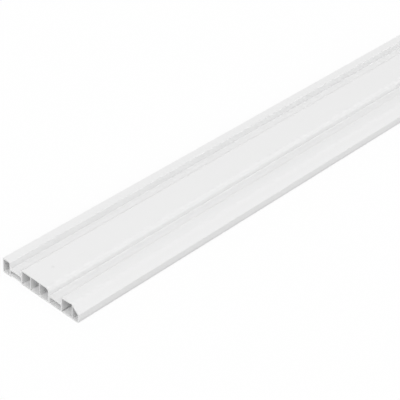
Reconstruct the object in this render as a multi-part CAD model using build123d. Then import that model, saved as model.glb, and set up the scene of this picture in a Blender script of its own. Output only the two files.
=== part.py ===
from build123d import *
import math
import os

# A white PVC skirting board, extruded in one piece with hollow chambers, lying on its
# flat back, which has one shallow recess under the groove beside the lip. The length
# runs along X, the width across Y and the thickness up Z, and the origin is at the
# middle of the back. Once fitted to a wall, the square lip at +Y stands on the floor and
# the chamfered edge at -Y is the top. The section is drawn with the distance from the
# lip's outer face and the height above the back.

# Overall size. The thickness is that of the crest between the top panel and the chamfer,
# before it is rounded.
LENGTH = 2500.0
WIDTH = 100.0
THICKNESS = 17.6

# Bands of the face, from the lip to the chamfered edge. The middle panel takes what
# the others leave of the width.
LIP_WIDTH = 10.1
LIP_GROOVE_WIDTH = 14.5
TOP_GROOVE_WIDTH = 15.3
TOP_PANEL_WIDTH = 14.2
CHAMFER_WIDTH = 8.7

# Heights
TOP_PANEL_RISE = 1.1
GROOVE_DEPTH = 7.9
SIDE_HEIGHT = 9.6
CREASE_HEIGHT = 4.5
SIDE_UNDERCUT = 0.3
RECESS_DEPTH = 1.6

# Walls
SKIN = 1.2
LIP_WALL = 1.1
UPRIGHT_WALL = 1.5
FOOT_WALL = 2.4
WEB = 0.75
WEB_COUNT = 2

# Rounded edges of the outside, then of the chambers
LIP_ARRIS_RADIUS = 0.6
LIP_SHOULDER_RADIUS = 0.6
GROOVE_CORNER_RADIUS = 0.4
PANEL_ARRIS_RADIUS = 2.2
PANEL_SHOULDER_RADIUS = 4.2
CREST_RADIUS = 5.0
CHAMFER_ARRIS_RADIUS = 0.8
BACK_EDGE_RADIUS = 1.6
RECESS_CORNER_RADIUS = 0.4
CHAMBER_CORNER_RADIUS = 0.35

# Heights of the faces that the driving sizes give
PANEL_HEIGHT = THICKNESS - TOP_PANEL_RISE
GROOVE_HEIGHT = PANEL_HEIGHT - GROOVE_DEPTH

# Where each band starts, measured from the lip's outer face
LIP_GROOVE_START = LIP_WIDTH
MIDDLE_START = LIP_GROOVE_START + LIP_GROOVE_WIDTH
CHAMFER_START = WIDTH - CHAMFER_WIDTH
TOP_PANEL_START = CHAMFER_START - TOP_PANEL_WIDTH
TOP_GROOVE_START = TOP_PANEL_START - TOP_GROOVE_WIDTH


def section_face(corners):
    """Closed face of the section through corners of distance, height and radius."""
    points = [(WIDTH / 2 - distance, height) for distance, height, _ in corners]
    radii = [radius for _, _, radius in corners]
    with BuildSketch(Plane.YZ) as sketch:
        with BuildLine():
            FilletPolyline(*points, radius=radii, close=True)
        make_face()
    return sketch.sketch


def outline():
    """Outside of the section: two grooves, the chamfered edge and the recessed back."""
    return section_face(
        [
            (0, 0, BACK_EDGE_RADIUS),
            (0, PANEL_HEIGHT, LIP_ARRIS_RADIUS),
            (LIP_GROOVE_START, PANEL_HEIGHT, LIP_SHOULDER_RADIUS),
            (LIP_GROOVE_START, GROOVE_HEIGHT, GROOVE_CORNER_RADIUS),
            (MIDDLE_START, GROOVE_HEIGHT, GROOVE_CORNER_RADIUS),
            (MIDDLE_START, PANEL_HEIGHT, PANEL_ARRIS_RADIUS),
            (TOP_GROOVE_START, PANEL_HEIGHT, PANEL_SHOULDER_RADIUS),
            (TOP_GROOVE_START, GROOVE_HEIGHT, GROOVE_CORNER_RADIUS),
            (TOP_PANEL_START, GROOVE_HEIGHT, GROOVE_CORNER_RADIUS),
            (TOP_PANEL_START, PANEL_HEIGHT, PANEL_ARRIS_RADIUS),
            (CHAMFER_START, THICKNESS, CREST_RADIUS),
            (WIDTH, SIDE_HEIGHT, CHAMFER_ARRIS_RADIUS),
            (WIDTH, CREASE_HEIGHT, 0),
            (WIDTH - SIDE_UNDERCUT, 0, BACK_EDGE_RADIUS),
            (MIDDLE_START, 0, RECESS_CORNER_RADIUS),
            (MIDDLE_START, RECESS_DEPTH, RECESS_CORNER_RADIUS),
            (LIP_GROOVE_START, RECESS_DEPTH, RECESS_CORNER_RADIUS),
            (LIP_GROOVE_START, 0, RECESS_CORNER_RADIUS),
        ]
    )


def box_chamber(start, end, top, bottom=SKIN, shoulder_radius=CHAMBER_CORNER_RADIUS):
    """Chamber with a flat ceiling, and a rounder shoulder on its far side if given."""
    return section_face(
        [
            (start, bottom, CHAMBER_CORNER_RADIUS),
            (start, top, CHAMBER_CORNER_RADIUS),
            (end, top, shoulder_radius),
            (end, bottom, CHAMBER_CORNER_RADIUS),
        ]
    )


def lip_chamber():
    """Chamber inside the square lip."""
    return box_chamber(LIP_WALL, LIP_WIDTH - LIP_WALL, PANEL_HEIGHT - SKIN)


def lip_groove_chamber():
    """Low chamber between the groove beside the lip and the recess in the back."""
    return box_chamber(
        LIP_GROOVE_START, MIDDLE_START, GROOVE_HEIGHT - SKIN, bottom=RECESS_DEPTH + SKIN
    )


def middle_chambers():
    """Chambers of the middle panel, parted by thin upright webs at an even pitch."""
    start = MIDDLE_START + UPRIGHT_WALL
    end = TOP_GROOVE_START - UPRIGHT_WALL
    count = WEB_COUNT + 1
    chamber_width = (end - start - WEB_COUNT * WEB) / count
    chambers = []
    for index in range(count):
        left = start + index * (chamber_width + WEB)
        is_last = index == count - 1
        shoulder = PANEL_SHOULDER_RADIUS - SKIN if is_last else CHAMBER_CORNER_RADIUS
        top = PANEL_HEIGHT - SKIN
        chambers.append(box_chamber(left, left + chamber_width, top, shoulder_radius=shoulder))
    return chambers


def top_groove_chamber():
    """Low chamber under the groove beside the top panel, clear of the thick foot."""
    start = TOP_GROOVE_START - UPRIGHT_WALL + FOOT_WALL
    return box_chamber(start, TOP_PANEL_START, GROOVE_HEIGHT - SKIN)


def top_panel_chamber():
    """Chamber under the top panel, whose ceiling rises with the face."""
    start = TOP_PANEL_START + UPRIGHT_WALL
    end = CHAMFER_START
    slope = TOP_PANEL_RISE / TOP_PANEL_WIDTH
    low_ceiling = PANEL_HEIGHT + slope * UPRIGHT_WALL - SKIN
    return section_face(
        [
            (start, SKIN, CHAMBER_CORNER_RADIUS),
            (start, low_ceiling, CHAMBER_CORNER_RADIUS),
            (end, THICKNESS - SKIN, CHAMBER_CORNER_RADIUS),
            (end, SKIN, CHAMBER_CORNER_RADIUS),
        ]
    )


def chamfer_chamber():
    """Chamber behind the chamfer, whose sloping side keeps the skin's thickness."""
    start = CHAMFER_START + WEB
    end = WIDTH - SKIN
    fall = THICKNESS - SIDE_HEIGHT
    slope = fall / CHAMFER_WIDTH
    skin_drop = SKIN * math.hypot(CHAMFER_WIDTH, fall) / CHAMFER_WIDTH
    ceiling_start = THICKNESS - slope * WEB - skin_drop
    ceiling_end = SIDE_HEIGHT + slope * SKIN - skin_drop
    return section_face(
        [
            (start, SKIN, CHAMBER_CORNER_RADIUS),
            (start, ceiling_start, CHAMBER_CORNER_RADIUS),
            (end, ceiling_end, CHAMBER_CORNER_RADIUS),
            (end, SKIN, CHAMBER_CORNER_RADIUS),
        ]
    )


def make_board():
    """The whole extrusion: the section less its chambers, drawn out along X."""
    section = outline() - [
        lip_chamber(),
        lip_groove_chamber(),
        *middle_chambers(),
        top_groove_chamber(),
        top_panel_chamber(),
        chamfer_chamber(),
    ]
    return extrude(section, amount=LENGTH / 2, both=True)


os.makedirs("parts", exist_ok=True)
board = make_board()
export_step(board, "parts/skirting_board.step")
print(f"skirting_board: {len(board.solids())} solid, {board.volume / 1000:.1f} cm3")
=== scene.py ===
"""Finish, studio and camera for a length of white hollow PVC skirting board.

The board lies on its flat back. Its length runs along X, its width along Y, with the square
lip at +Y and the chamfered edge at -Y, and its thickness along Z. All sizes are in metres.
"""

import logging
import math
from collections.abc import Callable
from dataclasses import dataclass
from enum import Enum

import bpy
from mathutils import Matrix, Vector


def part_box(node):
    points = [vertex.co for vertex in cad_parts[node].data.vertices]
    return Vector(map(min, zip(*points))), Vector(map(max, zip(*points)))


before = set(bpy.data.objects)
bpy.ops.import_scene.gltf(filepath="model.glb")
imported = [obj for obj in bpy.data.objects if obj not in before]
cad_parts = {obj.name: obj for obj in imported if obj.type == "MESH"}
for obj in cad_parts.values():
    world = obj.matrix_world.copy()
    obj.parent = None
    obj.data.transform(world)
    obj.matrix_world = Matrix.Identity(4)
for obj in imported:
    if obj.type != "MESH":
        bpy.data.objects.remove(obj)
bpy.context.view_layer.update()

MM = 0.001
MICRON = 0.000001
WHITE = (1.0, 1.0, 1.0, 1.0)
BOARD = "skirting_board"

LOG = logging.getLogger("skirting")

Colour = tuple[float, float, float]
Place = Vector | tuple[float, float, float]
Socket = bpy.types.NodeSocket
Input = float | Socket


@dataclass(frozen=True)
class Section:
    """The board's section, with distances measured from the lip's outer face.

    The width and the thickness are read from the model, and the rest are the extrusion's own.

    Attributes:
        width: Width of the board.
        thickness: Height of the rounded crest between the top panel and the chamfer.
        lip_width: Width of the lip.
        lip_groove_width: Width of the groove beside the lip.
        top_groove_width: Width of the groove beside the top panel.
        top_panel_width: Width of the top panel.
        chamfer_width: Width of the chamfer.
        crest_rise: Height of the crest over the middle panel.
        groove_depth: Depth of both grooves.
        side_height: Height of the near side, under the chamfer.
        recess_depth: Depth of the recess in the back.
        skin: Thickness of the skins.
        upright_wall: Thickness of the upright walls at the grooves.
        web: Thickness of a web.
        web_count: Number of webs.
    """

    width: float
    thickness: float
    lip_width: float = 10.1 * MM
    lip_groove_width: float = 14.5 * MM
    top_groove_width: float = 15.3 * MM
    top_panel_width: float = 14.2 * MM
    chamfer_width: float = 8.7 * MM
    crest_rise: float = 0.95 * MM
    groove_depth: float = 7.9 * MM
    side_height: float = 9.6 * MM
    recess_depth: float = 1.6 * MM
    skin: float = 1.2 * MM
    upright_wall: float = 1.5 * MM
    web: float = 0.75 * MM
    web_count: int = 2

    @property
    def panel_height(self) -> float:
        """Height of the lip's top and of the middle panel."""
        return self.thickness - self.crest_rise

    @property
    def groove_height(self) -> float:
        """Height of the two groove floors."""
        return self.panel_height - self.groove_depth

    @property
    def middle_start(self) -> float:
        """Distance at which the middle panel starts."""
        return self.lip_width + self.lip_groove_width

    @property
    def chamfer_start(self) -> float:
        """Distance at which the chamfer starts."""
        return self.width - self.chamfer_width

    @property
    def top_panel_start(self) -> float:
        """Distance at which the top panel starts."""
        return self.chamfer_start - self.top_panel_width

    @property
    def top_groove_start(self) -> float:
        """Distance at which the groove beside the top panel starts."""
        return self.top_panel_start - self.top_groove_width

    def point(self, distance: float, height: float) -> Place:
        """Place of a point of the section, halfway along the board."""
        return (0.0, self.width / 2 - distance, height)

    def web_places(self) -> list[float]:
        """Finds the webs under the middle panel, which stand at an even pitch.

        Returns:
            The distances of their middles.
        """
        start = self.middle_start + self.upright_wall
        end = self.top_groove_start - self.upright_wall
        count = self.web_count + 1
        chamber = (end - start - self.web_count * self.web) / count
        pitch = chamber + self.web
        return [start + pitch * index - self.web / 2 for index in range(1, count)]

    def roof(self) -> list[tuple[float, float]]:
        """Height over which the section is outside, all across it.

        The line runs half a skin inside the faces, so that they count as outside and the
        walls of the chambers as inside.

        Returns:
            Distance and height of each bend.
        """
        half = self.skin / 2
        panel = self.panel_height - half
        groove = self.groove_height - half
        crest = self.thickness - half
        foot = self.side_height - half
        return [
            (half, 0.0),
            (half, panel),
            (self.lip_width - half, panel),
            (self.lip_width - half, groove),
            (self.middle_start + half, groove),
            (self.middle_start + half, panel),
            (self.top_groove_start - half, panel),
            (self.top_groove_start - half, groove),
            (self.top_panel_start + half, groove),
            (self.top_panel_start + half, panel),
            (self.chamfer_start, crest),
            (self.width - half, foot),
            (self.width - half, 0.0),
        ]


@dataclass(frozen=True)
class Finish:
    """How one kind of surface of the board looks.

    Attributes:
        colour: Its colour, as linear red, green and blue; in the chambers it holds a little
            painted shade.
        roughness: Its mean roughness.
        streak_colour: Share by which the lines darken and lighten the colour.
        streak_roughness: How far the lines move the roughness either way.
        streak_height: Height of the lines, from trough to crest.
    """

    colour: Colour
    roughness: float
    streak_colour: float
    streak_roughness: float
    streak_height: float


class Surface(Enum):
    """The three kinds of surface that the board has."""

    FACE = Finish(
        colour=(0.90, 0.90, 0.90),
        roughness=0.34,
        streak_colour=0.006,
        streak_roughness=0.04,
        streak_height=3 * MICRON,
    )
    # The chambers' colour is a little darker than the faces': painted shade in the hollows.
    CHAMBER = Finish(
        colour=(0.88, 0.88, 0.88),
        roughness=0.55,
        streak_colour=0.02,
        streak_roughness=0.06,
        streak_height=14 * MICRON,
    )
    SAWN = Finish(
        colour=(0.92, 0.92, 0.92),
        roughness=0.75,
        streak_colour=0.04,
        streak_roughness=0.08,
        streak_height=20 * MICRON,
    )


@dataclass(frozen=True)
class Stain:
    """One faint pinhole stain on the face.

    Attributes:
        place: Its middle on the board.
        radius: Radius at which it has faded out.
        depth: Share of the colour that it takes away at its middle.
    """

    place: Vector
    radius: float
    depth: float


@dataclass(frozen=True)
class PaintedShade:
    """A darker line along the length: painted shade at a foot, beside a wall or in a corner.

    Attributes:
        distance: Distance of its middle from the lip's face.
        height: Height of its middle above the back.
        half_width: Distance from its middle at which it has faded out.
        depth: Share of the colour that it takes away at its middle.
        inside: Whether it is on a chamber's walls, and otherwise on the faces.
    """

    distance: float
    height: float
    half_width: float
    depth: float
    inside: bool = False


class Graph:
    """A shader node tree that is being filled."""

    def __init__(self, tree: bpy.types.NodeTree) -> None:
        """Keeps the tree that nodes go into."""
        self.tree = tree

    @classmethod
    def of(cls, owner: bpy.types.Material | bpy.types.World) -> "Graph":
        """Empties the tree of a material or a world.

        Args:
            owner: The material or the world.

        Returns:
            The tree.
        """
        owner.use_nodes = True
        owner.node_tree.nodes.clear()
        return cls(owner.node_tree)

    def add(self, kind: str, label: str = "", **settings: object) -> bpy.types.Node:
        """Adds a node.

        Args:
            kind: The node's type name after the word ShaderNode.
            label: A name that says what the node is for.
            settings: Properties of the node, by name.

        Returns:
            The new node.
        """
        node = self.tree.nodes.new("ShaderNode" + kind)
        node.label = label
        for name, value in settings.items():
            setattr(node, name, value)
        return node

    def feed(self, target: Socket, value: object) -> None:
        """Links a socket to another, or sets it to a plain value.

        Args:
            target: The input socket.
            value: An output socket, a number, or a tuple for a vector or a colour.
        """
        if isinstance(value, Socket):
            self.tree.links.new(value, target)
        else:
            target.default_value = value

    def math(self, operation: str, *values: Input, label: str = "", clamp: bool = False) -> Socket:
        """Adds a math node.

        Args:
            operation: Blender's name of the operation.
            values: Its inputs, in order.
            label: What the node is for.
            clamp: Whether the result is held between 0 and 1.

        Returns:
            The result's socket.
        """
        node = self.add("Math", label, operation=operation, use_clamp=clamp)
        for target, value in zip(node.inputs, values):
            self.feed(target, value)
        return node.outputs["Value"]

    def vector_math(
        self, operation: str, *values: Place | Socket, label: str = ""
    ) -> bpy.types.Node:
        """Adds a vector math node.

        Args:
            operation: Blender's name of the operation.
            values: Its inputs, in order.
            label: What the node is for.

        Returns:
            The node, because what it puts out depends on the operation.
        """
        node = self.add("VectorMath", label, operation=operation)
        for target, value in zip(node.inputs, values):
            self.feed(target, value)
        return node

    def parts(self, vector: Socket) -> bpy.types.Node:
        """Parts a vector into X, Y and Z.

        Args:
            vector: The vector's socket.

        Returns:
            The node that parts it.
        """
        node = self.add("SeparateXYZ")
        self.feed(node.inputs["Vector"], vector)
        return node

    def in_section(self, position: Socket) -> Socket:
        """A place moved along the board to its middle."""
        node = self.vector_math("MULTIPLY", position, (0.0, 1.0, 1.0), label="section only")
        return node.outputs["Vector"]

    def reach(self, position: Socket, centre: Place | Socket) -> Socket:
        """Distance of a place from a centre."""
        return self.vector_math("DISTANCE", position, centre, label="reach").outputs["Value"]

    def between(
        self, value: Input, low: float, high: float, to: tuple[float, float] = (0.0, 1.0)
    ) -> Socket:
        """Maps a value smoothly from one range to another.

        Args:
            value: The value to map.
            low: Where the range starts.
            high: Where the range ends.
            to: What the range's start and end become.

        Returns:
            The mapped value's socket.
        """
        node = self.add("MapRange", interpolation_type="SMOOTHSTEP")
        ends = (value, low, high, *to)
        for name, end in zip(("Value", "From Min", "From Max", "To Min", "To Max"), ends):
            self.feed(node.inputs[name], end)
        return node.outputs["Result"]

    def noise(
        self,
        label: str,
        place: Socket,
        scale: Input = 1.0,
        detail: float = 2.0,
        roughness: float = 0.5,
        dimensions: str = "3D",
    ) -> Socket:
        """Adds a noise.

        Args:
            label: What the noise is for.
            place: Where it is read, as a vector, or as a number in one dimension.
            scale: How closely its patches lie.
            detail: How many times finer noise is added.
            roughness: How strong the finer noise is.
            dimensions: 3D or 1D.

        Returns:
            The socket of its values, from 0 to 1.
        """
        node = self.add("TexNoise", label, noise_dimensions=dimensions)
        self.feed(node.inputs["W" if dimensions == "1D" else "Vector"], place)
        self.feed(node.inputs["Scale"], scale)
        self.feed(node.inputs["Detail"], detail)
        self.feed(node.inputs["Roughness"], roughness)
        return node.outputs["Fac"]

    def mix(self, share: Input, first: object, second: object, kind: str = "FLOAT") -> Socket:
        """Mixes two values or colours.

        Args:
            share: The second one's share, from 0 to 1.
            first: The value where the share is 0.
            second: The value where the share is 1.
            kind: FLOAT for numbers, or RGBA for colours.

        Returns:
            The mixed value's socket.
        """
        node = self.add("Mix", data_type=kind)
        sockets = [socket for socket in node.inputs if socket.enabled]
        for target, value in zip(sockets, (share, first, second)):
            self.feed(target, value)
        return next(socket for socket in node.outputs if socket.enabled)

    def group(self, tree: bpy.types.NodeTree, **values: object) -> Socket:
        """Places a node group.

        Args:
            tree: The group's node tree.
            values: Its inputs by name, with spaces written as underscores.

        Returns:
            The socket of the group's first output.
        """
        node = self.add("Group", tree.name, node_tree=tree)
        for name, value in values.items():
            self.feed(node.inputs[name.replace("_", " ")], value)
        return node.outputs[0]

    def shader(self, kind: str, label: str, **values: object) -> Socket:
        """Adds a shader.

        Args:
            kind: The node's type name after the word ShaderNode.
            label: What the shader is for.
            values: Its inputs by name, with spaces written as underscores.

        Returns:
            The shader's socket.
        """
        node = self.add(kind, label)
        for name, value in values.items():
            self.feed(node.inputs[name.replace("_", " ")], value)
        return node.outputs[0]

    def mix_shaders(self, share: Input, first: Socket, second: Socket) -> Socket:
        """Mixes two shaders.

        Args:
            share: The second one's share, from 0 to 1.
            first: The shader where the share is 0.
            second: The shader where the share is 1.

        Returns:
            The mixed shader's socket.
        """
        node = self.add("MixShader")
        for target, value in zip(node.inputs, (share, first, second)):
            self.feed(target, value)
        return node.outputs["Shader"]

    def put_out(self, kind: str, surface: Socket) -> None:
        """Links a shader to a new output.

        Args:
            kind: OutputMaterial or OutputWorld.
            surface: The shader's socket.
        """
        self.feed(self.add(kind).inputs["Surface"], surface)


class Effect:
    """A node group with one output. Each kind fills its own tree."""

    name = ""
    inputs: dict[str, str] = {}
    output = ""

    def __init__(self) -> None:
        """Makes the group with its sockets and fills it."""
        self.tree = bpy.data.node_groups.new(self.name, "ShaderNodeTree")
        sockets = self.tree.interface
        for name, kind in self.inputs.items():
            sockets.new_socket(name, in_out="INPUT", socket_type="NodeSocket" + kind)
        sockets.new_socket(self.output, in_out="OUTPUT", socket_type="NodeSocketFloat")
        self.given = self.tree.nodes.new("NodeGroupInput").outputs
        graph = Graph(self.tree)
        graph.feed(self.tree.nodes.new("NodeGroupOutput").inputs[self.output], self.fill(graph))

    def fill(self, graph: Graph) -> Socket:
        """Adds the nodes between the group's inputs and its output.

        Args:
            graph: The group's tree.

        Returns:
            The socket that the group puts out.
        """
        raise NotImplementedError


class DieLines(Effect):
    """Fine lines along the length, as the die leaves on an extrusion."""

    name = "die_lines"
    inputs = {"Position": "Vector", "Width": "Float", "Run": "Float"}
    output = "Lines"

    def fill(self, graph: Graph) -> Socket:
        """Stretches a noise along X, from the lines' width to the length of their run.

        Args:
            graph: The group's tree.

        Returns:
            The lines' socket.
        """
        size = graph.add("CombineXYZ", "size of a line")
        for axis, name in zip("XYZ", ("Run", "Width", "Width")):
            graph.feed(size.inputs[axis], self.given[name])
        stretched = graph.vector_math("DIVIDE", self.given["Position"], size.outputs["Vector"])
        return graph.noise("lines", stretched.outputs["Vector"], detail=3.0, roughness=0.6)


class SawMarks(Effect):
    """Arcs that a circular saw leaves across a cut end."""

    name = "saw_marks"
    inputs = {"Position": "Vector", "Hub": "Vector", "Pitch": "Float"}
    output = "Lines"

    def fill(self, graph: Graph) -> Socket:
        """Turns the distance from the saw's hub into uneven rings.

        Args:
            graph: The group's tree.

        Returns:
            The rings' socket.
        """
        reach = graph.reach(graph.in_section(self.given["Position"]), self.given["Hub"])
        rings = graph.math("DIVIDE", reach, self.given["Pitch"])
        return graph.noise("rings", rings, dimensions="1D")


class Clouds(Effect):
    """Soft patches, a little uneven, as on any moulded plastic."""

    name = "clouds"
    inputs = {"Position": "Vector", "Patch": "Float"}
    output = "Patches"

    def fill(self, graph: Graph) -> Socket:
        """Scales a slow noise by the size of its patches."""
        scale = graph.math("DIVIDE", 1.0, self.given["Patch"])
        return graph.noise("patches", self.given["Position"], scale)


class Spot(Effect):
    """A faint round stain with an uneven edge.

    Attributes:
        unevenness: How far the edge wanders, as a share of the radius.
        grain: Size of the patches that move it.
    """

    name = "spot"
    inputs = {"Position": "Vector", "Centre": "Vector", "Radius": "Float"}
    output = "Mask"
    unevenness = 0.5
    grain = 1.0 * MM

    def fill(self, graph: Graph) -> Socket:
        """Fades from the centre to the radius, with the edge moved about by a noise.

        Args:
            graph: The group's tree.

        Returns:
            The mask's socket.
        """
        position = self.given["Position"]
        reach = graph.reach(position, self.given["Centre"])
        share = graph.math("DIVIDE", reach, self.given["Radius"])
        noise = graph.noise("uneven edge", position, 1 / self.grain)
        edge = graph.math("MULTIPLY_ADD", noise, self.unevenness, share)
        start = self.unevenness / 2
        return graph.between(edge, start, start + 1.0, to=(1.0, 0.0))


class Band(Effect):
    """A soft line along the length, such as a sink line over a web or painted shade in a corner.
    """

    name = "band"
    inputs = {"Position": "Vector", "Middle": "Vector", "Half Width": "Float"}
    output = "Mask"

    def fill(self, graph: Graph) -> Socket:
        """Fades from the line's middle to its half width, in the plane of the section.

        Args:
            graph: The group's tree.

        Returns:
            The mask's socket.
        """
        reach = graph.reach(graph.in_section(self.given["Position"]), self.given["Middle"])
        share = graph.math("DIVIDE", reach, self.given["Half Width"])
        return graph.between(share, 0.0, 1.0, to=(1.0, 0.0))


class ChamberMask(Effect):
    """Which points of the board are on the walls of its chambers.

    Attributes:
        step_width: Width of an upright step in the roof, as a share of the board's width.
    """

    name = "chamber_mask"
    inputs = {"Position": "Vector"}
    output = "Mask"
    step_width = 0.0001

    def __init__(self, section: Section) -> None:
        """Keeps the section that the mask is worked out from, and makes the group.

        Args:
            section: The board's section.
        """
        self.section = section
        super().__init__()

    def fill(self, graph: Graph) -> Socket:
        """Compares each point's height with the roof and the floor over its distance.

        Args:
            graph: The group's tree.

        Returns:
            The mask's socket.
        """
        parts = graph.parts(self.given["Position"])
        distance = graph.math("SUBTRACT", self.section.width / 2, parts.outputs["Y"])
        height = parts.outputs["Z"]
        under_roof = graph.math("LESS_THAN", height, self.roof(graph, distance))
        over_floor = graph.math("GREATER_THAN", height, self.floor(graph, distance))
        return graph.math("MULTIPLY", under_roof, over_floor)

    def roof(self, graph: Graph, distance: Socket) -> Socket:
        """Height over which the section is outside, as a ramp of straight stretches.

        A ramp's bends can't share a place, so the second of two at one distance stands a
        step's width after the first.

        Args:
            graph: The group's tree.
            distance: Distance from the lip's face.

        Returns:
            The height's socket.
        """
        section = self.section
        bends = section.roof()
        ramp = graph.add("ValToRGB", "roof")
        ramp.color_ramp.interpolation = "LINEAR"
        elements = ramp.color_ramp.elements
        while len(elements) < len(bends):
            elements.new(1.0)
        last_distance = None
        for element, (bend_distance, height) in zip(elements, bends):
            step = self.step_width if bend_distance == last_distance else 0.0
            level = height / section.thickness
            element.position = bend_distance / section.width + step
            element.color = (level, level, level, 1.0)
            last_distance = bend_distance
        graph.feed(ramp.inputs["Fac"], graph.math("DIVIDE", distance, section.width, clamp=True))
        return graph.math("MULTIPLY", ramp.outputs["Color"], section.thickness)

    def floor(self, graph: Graph, distance: Socket) -> Socket:
        """Height under which the section is outside: half a skin, or more in the recess.

        Args:
            graph: The group's tree.
            distance: Distance from the lip's face.

        Returns:
            The height's socket.
        """
        section = self.section
        half = section.skin / 2
        after = graph.math("GREATER_THAN", distance, section.lip_width - half)
        before = graph.math("LESS_THAN", distance, section.middle_start + half)
        in_recess = graph.math("MULTIPLY", after, before)
        return graph.math("MULTIPLY_ADD", in_recess, section.recess_depth, half)


@dataclass(frozen=True)
class Shading:
    """The board's material while it is being made, and what it knows of each point.

    Attributes:
        graph: The material's tree.
        position: Place on the board.
        chamber: 1 in the chambers.
        sawn: 1 on the sawn ends.
        band: The group that draws a soft line along the length.
    """

    graph: Graph
    position: Socket
    chamber: Socket
    sawn: Socket
    band: bpy.types.NodeTree

    def by_surface(self, face: object, inside: object, end: object, kind: str = "FLOAT") -> Socket:
        """Picks a value by the kind of surface.

        Args:
            face: The value on the faces.
            inside: The value in the chambers.
            end: The value on the sawn ends.
            kind: FLOAT for numbers, or RGBA for colours.

        Returns:
            The picked value's socket.
        """
        moulded = self.graph.mix(self.chamber, face, inside, kind)
        return self.graph.mix(self.sawn, moulded, end, kind)

    def by_finish(self, pick: Callable[[Finish], object], kind: str = "FLOAT") -> Socket:
        """Picks a value of the finish that each kind of surface has.

        Args:
            pick: Gives the value of a finish.
            kind: FLOAT for numbers, or RGBA for colours.

        Returns:
            The picked value's socket.
        """
        return self.by_surface(*(pick(surface.value) for surface in Surface), kind)

    def line(self, middle: Place, half_width: float) -> Socket:
        """Mask of a soft line along the length.

        Args:
            middle: The line's middle, in the plane of the section.
            half_width: Distance from its middle at which it has faded out.

        Returns:
            The mask's socket.
        """
        values = {"Middle": middle, "Half_Width": half_width}
        return self.graph.group(self.band, Position=self.position, **values)


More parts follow.
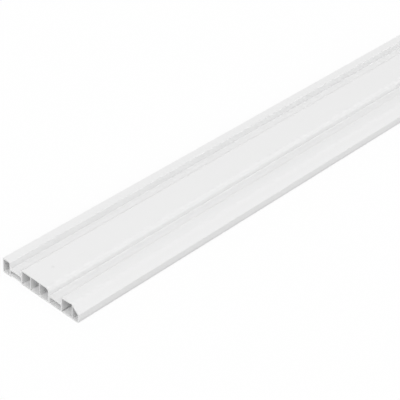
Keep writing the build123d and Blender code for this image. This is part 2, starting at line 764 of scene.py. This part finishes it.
@dataclass(frozen=True)
class Board:
    """The skirting board: its section and how its surfaces are dressed.

    Attributes:
        section: The board's section.
        length: Its length.
        refraction: Index of refraction of the plastic.
        face_line_width: Width of the die lines on the faces.
        chamber_line_width: Width of the coarser lines in the chambers.
        line_run: Length over which a line stays the same.
        patch: Size of the soft patches.
        patch_roughness: Difference in roughness between one patch and another.
        saw_hub: Middle of the saw that cut the ends, in the plane of the section.
        saw_pitch: Mean pitch of the saw's arcs.
        sawn_slant: Least share of its normal along the length that a sawn face has.
        sink_half_width: Half the width of the sink line over a web.
        sink_depth: Depth of a sink line.
    """

    section: Section
    length: float
    refraction: float = 1.53
    face_line_width: float = 1.6 * MM
    chamber_line_width: float = 2.4 * MM
    line_run: float = 1.4
    patch: float = 60 * MM
    patch_roughness: float = 0.08
    saw_hub: Place = (0.0, 125 * MM / 3, 125 * MM)
    saw_pitch: float = 0.55 * MM
    sawn_slant: float = 0.5
    sink_half_width: float = 1.8 * MM
    sink_depth: float = 12 * MICRON

    def stains(self) -> list[Stain]:
        """Finds the one stain, on the middle panel near the cut end.

        Returns:
            The stain, in a list.
        """
        cut_end = -self.length / 2
        place = Vector((cut_end + 24.0 * MM, 9.0 * MM, self.section.panel_height))
        return [Stain(place, radius=2.4 * MM, depth=0.09)]

    def painted_shade(self) -> list[PaintedShade]:
        """Finds where shade is painted.

        Returns:
            Painted shade at the foot of the near side, in both grooves and in the top chamber's
            corner.
        """
        section = self.section
        floor = section.groove_height
        from_wall = 2.3 * MM
        lip_groove = section.lip_width + from_wall
        top_groove = section.top_groove_start + from_wall
        corner = section.top_panel_start + section.upright_wall
        return [
            # Painted shadow along the foot of the near side, where it meets the floor.
            PaintedShade(section.width, height=0.8 * MM, half_width=4.0 * MM, depth=0.12),
            # Painted shade along both groove floors, beside their walls.
            PaintedShade(lip_groove, floor, half_width=3.6 * MM, depth=0.06),
            PaintedShade(top_groove, floor, half_width=3.6 * MM, depth=0.07),
            # Painted shade in the crease where the top chamber's wall meets its floor.
            PaintedShade(corner, section.skin, half_width=1.3 * MM, depth=0.45, inside=True),
        ]

    def dress(self, node: bpy.types.Object) -> None:
        """Gives the extrusion its material.

        Args:
            node: The extrusion's object.
        """
        material = self.material()
        if not node.material_slots:
            node.data.materials.append(None)
        for slot in node.material_slots:
            slot.material = material

    def material(self) -> bpy.types.Material:
        """White PVC, with its moulded faces, its chambers and its sawn ends.

        Returns:
            The material.
        """
        material = bpy.data.materials.new("white_pvc")
        graph = Graph.of(material)
        point = graph.add("TexCoord")
        position = point.outputs["Object"]
        shading = Shading(
            graph=graph,
            position=position,
            chamber=graph.group(ChamberMask(self.section).tree, Position=position),
            sawn=self.sawn_mask(graph, point.outputs["Normal"]),
            band=Band().tree,
        )
        lines = self.lines(shading)
        plastic = graph.shader(
            "BsdfPrincipled",
            "PVC",
            Base_Color=self.colour(shading, lines),
            Roughness=self.roughness(shading, lines),
            Normal=self.relief(shading, lines),
            IOR=self.refraction,
        )
        graph.put_out("OutputMaterial", plastic)
        return material

    def sawn_mask(self, graph: Graph, normal: Socket) -> Socket:
        """1 on the faces that look along the length, which the saw made.

        Args:
            graph: The material's tree.
            normal: The surface's normal.

        Returns:
            The mask's socket.
        """
        along = graph.math("ABSOLUTE", graph.parts(normal).outputs["X"])
        return graph.math("GREATER_THAN", along, self.sawn_slant, label="sawn end")

    def lines(self, shading: Shading) -> Socket:
        """The lines of each kind of surface, from -1 to 1.

        Args:
            shading: The material that is being made.

        Returns:
            The lines' socket.
        """
        graph = shading.graph
        place = {"Position": shading.position}
        along = {**place, "Run": self.line_run}
        die = DieLines().tree
        face = graph.group(die, Width=self.face_line_width, **along)
        inside = graph.group(die, Width=self.chamber_line_width, **along)
        end = graph.group(SawMarks().tree, Hub=self.saw_hub, Pitch=self.saw_pitch, **place)
        level = shading.by_surface(face, inside, end)
        return graph.math("MULTIPLY_ADD", level, 2.0, -1.0, label="lines either way")

    def colour(self, shading: Shading, lines: Socket) -> Socket:
        """Colour of each kind of surface, with its lines, the stain and the painted shade.

        Args:
            shading: The material that is being made.
            lines: Lines from -1 to 1.

        Returns:
            The colour's socket.
        """
        graph = shading.graph
        plain = shading.by_finish(lambda finish: (*finish.colour, 1.0), "RGBA")
        strength = shading.by_finish(lambda finish: finish.streak_colour)
        shade = graph.math("MULTIPLY_ADD", lines, strength, 1.0, label="streaks")
        spot = Spot().tree
        for stain in self.stains():
            values = {"Centre": stain.place, "Radius": stain.radius}
            mask = graph.group(spot, Position=shading.position, **values)
            loss = graph.math("MULTIPLY_ADD", mask, -stain.depth, 1.0, label="stain")
            shade = graph.math("MULTIPLY", shade, loss)
        # Painted shade: darker lines at the near side's foot, beside the groove walls and in a
        # chamber's corner.
        for painted_shade in self.painted_shade():
            middle = self.section.point(painted_shade.distance, painted_shade.height)
            mask = shading.line(middle, painted_shade.half_width)
            depths = (0.0, painted_shade.depth) if painted_shade.inside else (painted_shade.depth, 0.0)
            depth = shading.by_surface(*depths, 0.0)
            loss = graph.math("SUBTRACT", 1.0, graph.math("MULTIPLY", mask, depth), label="painted_shade")
            shade = graph.math("MULTIPLY", shade, loss)
        tinted = graph.vector_math("SCALE", plain, label="shade")
        graph.feed(tinted.inputs["Scale"], shade)
        return tinted.outputs["Vector"]

    def roughness(self, shading: Shading, lines: Socket) -> Socket:
        """Roughness of each kind of surface, with its lines and soft patches.

        Args:
            shading: The material that is being made.
            lines: Lines from -1 to 1.

        Returns:
            The roughness' socket.
        """
        graph = shading.graph
        mean = shading.by_finish(lambda finish: finish.roughness)
        strength = shading.by_finish(lambda finish: finish.streak_roughness)
        streaked = graph.math("MULTIPLY_ADD", lines, strength, mean, label="streaks")
        patches = graph.group(Clouds().tree, Position=shading.position, Patch=self.patch)
        spread = self.patch_roughness
        uneven = graph.math("MULTIPLY_ADD", patches, spread, -spread / 2, label="patches")
        return graph.math("ADD", streaked, uneven, clamp=True)

    def relief(self, shading: Shading, lines: Socket) -> Socket:
        """Normal of the surface, with its lines and the sink lines over the webs.

        Args:
            shading: The material that is being made.
            lines: Lines from -1 to 1.

        Returns:
            The normal's socket.
        """
        graph = shading.graph
        section = self.section
        height = graph.math(
            "MULTIPLY", lines, shading.by_finish(lambda finish: finish.streak_height / 2)
        )
        for distance in section.web_places():
            middle = section.point(distance, section.panel_height)
            mask = shading.line(middle, self.sink_half_width)
            height = graph.math("MULTIPLY_ADD", mask, -self.sink_depth, height)
        bump = graph.add("Bump", "relief")
        graph.feed(bump.inputs["Strength"], 1.0)
        graph.feed(bump.inputs["Distance"], 1.0)
        graph.feed(bump.inputs["Height"], height)
        return bump.outputs["Normal"]


@dataclass(frozen=True)
class Floor:
    """The pale floor under the board, which looks white and keeps a faint shadow.

    Attributes:
        half_size: Half the side of the floor.
        bounce: Share of the light that it throws back onto the board.
        shadow_share: Share of what the camera sees that takes the shadow.
    """

    half_size: float = 40.0
    bounce: float = 0.62
    shadow_share: float = 0.12

    def build(self) -> bpy.types.Object:
        """Lays the floor level with the board's back.

        Returns:
            The floor's object.
        """
        bpy.ops.object.select_all(action="DESELECT")
        bpy.ops.mesh.primitive_plane_add(size=2 * self.half_size)
        floor = bpy.context.object
        floor.name = "studio_floor"
        floor.data.materials.append(self.material())
        return floor

    def material(self) -> bpy.types.Material:
        """Pale matt floor, shown white to the camera.

        Returns:
            The material.
        """
        material = bpy.data.materials.new("pale_floor")
        graph = Graph.of(material)
        pale = (self.bounce, self.bounce, self.bounce, 1.0)
        lit = graph.shader("BsdfDiffuse", "floor as the board sees it", Color=pale)
        shadow = graph.shader("BsdfDiffuse", "floor as the camera sees it", Color=WHITE)
        white = graph.shader("Emission", "white", Color=WHITE)
        seen = graph.mix_shaders(self.shadow_share, white, shadow)
        path = graph.add("LightPath").outputs
        direct = graph.math("MAXIMUM", path["Is Camera Ray"], path["Is Glossy Ray"])
        graph.put_out("OutputMaterial", graph.mix_shaders(direct, lit, seen))
        return material


@dataclass(frozen=True)
class Lamp:
    """A soft far lamp.

    Attributes:
        name: What the lamp is for.
        azimuth: Direction it shines towards, from +X towards +Y, in degrees.
        elevation: How steeply it shines down, in degrees.
        strength: Its strength.
        softness: Angle that it fills as seen from the board, in degrees.
        distance: How far from the board it hangs, which doesn't change its light.
    """

    name: str
    azimuth: float
    elevation: float
    strength: float
    softness: float
    distance: float = 3.0

    def build(self) -> bpy.types.Object:
        """Hangs the lamp.

        Returns:
            The lamp's object.
        """
        data = bpy.data.lights.new(self.name, "SUN")
        data.energy = self.strength
        data.angle = math.radians(self.softness)
        lamp = bpy.data.objects.new(self.name, data)
        bpy.context.scene.collection.objects.link(lamp)
        direction = heading(self.azimuth, self.elevation)
        lamp.rotation_euler = direction.to_track_quat("-Z", "Y").to_euler()
        lamp.location = -self.distance * direction
        return lamp


@dataclass(frozen=True)
class Studio:
    """The light all round the board and its soft lamps.

    Attributes:
        ambient: Strength of the light that comes from all round.
        lamps: The lamps.
    """

    ambient: float
    lamps: tuple[Lamp, ...]

    def build(self) -> None:
        """Sets the world's light, which the camera sees as white, and hangs the lamps."""
        world = bpy.data.worlds.new("studio")
        graph = Graph.of(world)
        light = graph.shader("Background", "light", Color=WHITE, Strength=self.ambient)
        white = graph.shader("Background", "white", Color=WHITE)
        path = graph.add("LightPath").outputs
        graph.put_out("OutputWorld", graph.mix_shaders(path["Is Camera Ray"], light, white))
        bpy.context.scene.world = world
        for lamp in self.lamps:
            lamp.build()
            LOG.info("lamp %s", lamp.name)


@dataclass(frozen=True)
class PhotoCamera:
    """The camera at the photograph's place.

    Attributes:
        place: Where it stands.
        azimuth: Direction it looks, from +X towards +Y, in degrees.
        elevation: How steeply it looks down, in degrees.
        roll: How far it is turned about its own line of sight, in degrees.
        lens: Focal length in millimetres.
        sensor: Width of the sensor in millimetres.
        nearest: Nearest distance that it shows.
        furthest: Furthest distance that it shows.
    """

    place: Vector
    azimuth: float
    elevation: float
    roll: float
    lens: float
    sensor: float = 36.0
    nearest: float = 0.05
    furthest: float = 200.0

    def build(self) -> bpy.types.Object:
        """Sets the camera up.

        Returns:
            The camera's object.
        """
        data = bpy.data.cameras.new("photo_camera")
        data.lens = self.lens
        data.sensor_width = self.sensor
        data.clip_start = self.nearest
        data.clip_end = self.furthest
        camera = bpy.data.objects.new("photo_camera", data)
        bpy.context.scene.collection.objects.link(camera)
        forward = heading(self.azimuth, self.elevation)
        level = forward.cross(Vector((0.0, 0.0, 1.0))).normalized()
        down = forward.cross(level)
        roll = math.radians(self.roll)
        right = math.cos(roll) * level + math.sin(roll) * down
        up = right.cross(forward)
        turn = Matrix((right, up, -forward)).transposed().to_4x4()
        camera.matrix_world = Matrix.Translation(self.place) @ turn
        bpy.context.scene.camera = camera
        return camera


def heading(azimuth: float, elevation: float) -> Vector:
    """Direction of a lamp's light or of a camera's sight.

    Args:
        azimuth: From +X towards +Y, in degrees.
        elevation: How steeply it points down, in degrees.

    Returns:
        The direction, of length 1.
    """
    turn = math.radians(azimuth)
    dip = math.radians(elevation)
    level = math.cos(dip)
    return Vector((level * math.cos(turn), level * math.sin(turn), -math.sin(dip)))


def main() -> None:
    """Dresses the board, lights it and sets up the camera."""
    logging.basicConfig(level=logging.INFO, format="%(name)s: %(message)s")
    low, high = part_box(BOARD)
    size = high - low
    board = Board(Section(width=size.y, thickness=size.z), length=size.x)
    board.dress(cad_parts[BOARD])
    LOG.info("%s: %.0f x %.0f x %.1f mm", BOARD, size.x / MM, size.y / MM, size.z / MM)
    floor = Floor().build()
    LOG.info("%s, level with the back", floor.name)
    lamps = (
        Lamp("end_lamp", azimuth=0.0, elevation=50.0, strength=1.02, softness=25.0),
        Lamp("key_lamp", azimuth=45.0, elevation=55.0, strength=0.28, softness=50.0),
        Lamp("side_lamp", azimuth=90.0, elevation=34.0, strength=0.80, softness=50.0),
        Lamp("back_lamp", azimuth=-90.0, elevation=25.0, strength=0.50, softness=50.0),
    )
    Studio(ambient=0.44, lamps=lamps).build()
    near_corner = Vector((-size.x / 2, -size.y / 2, 0.0))
    camera = PhotoCamera(
        place=near_corner + Vector((-690.3, -730.1, 870.5)) * MM,
        azimuth=40.91,
        elevation=36.07,
        roll=-3.51,
        lens=135.4,
    )
    LOG.info("%s, lens %.1f mm", camera.build().name, camera.lens)
    bpy.context.scene.view_settings.view_transform = "Standard"


if __name__ == "__main__":
    main()
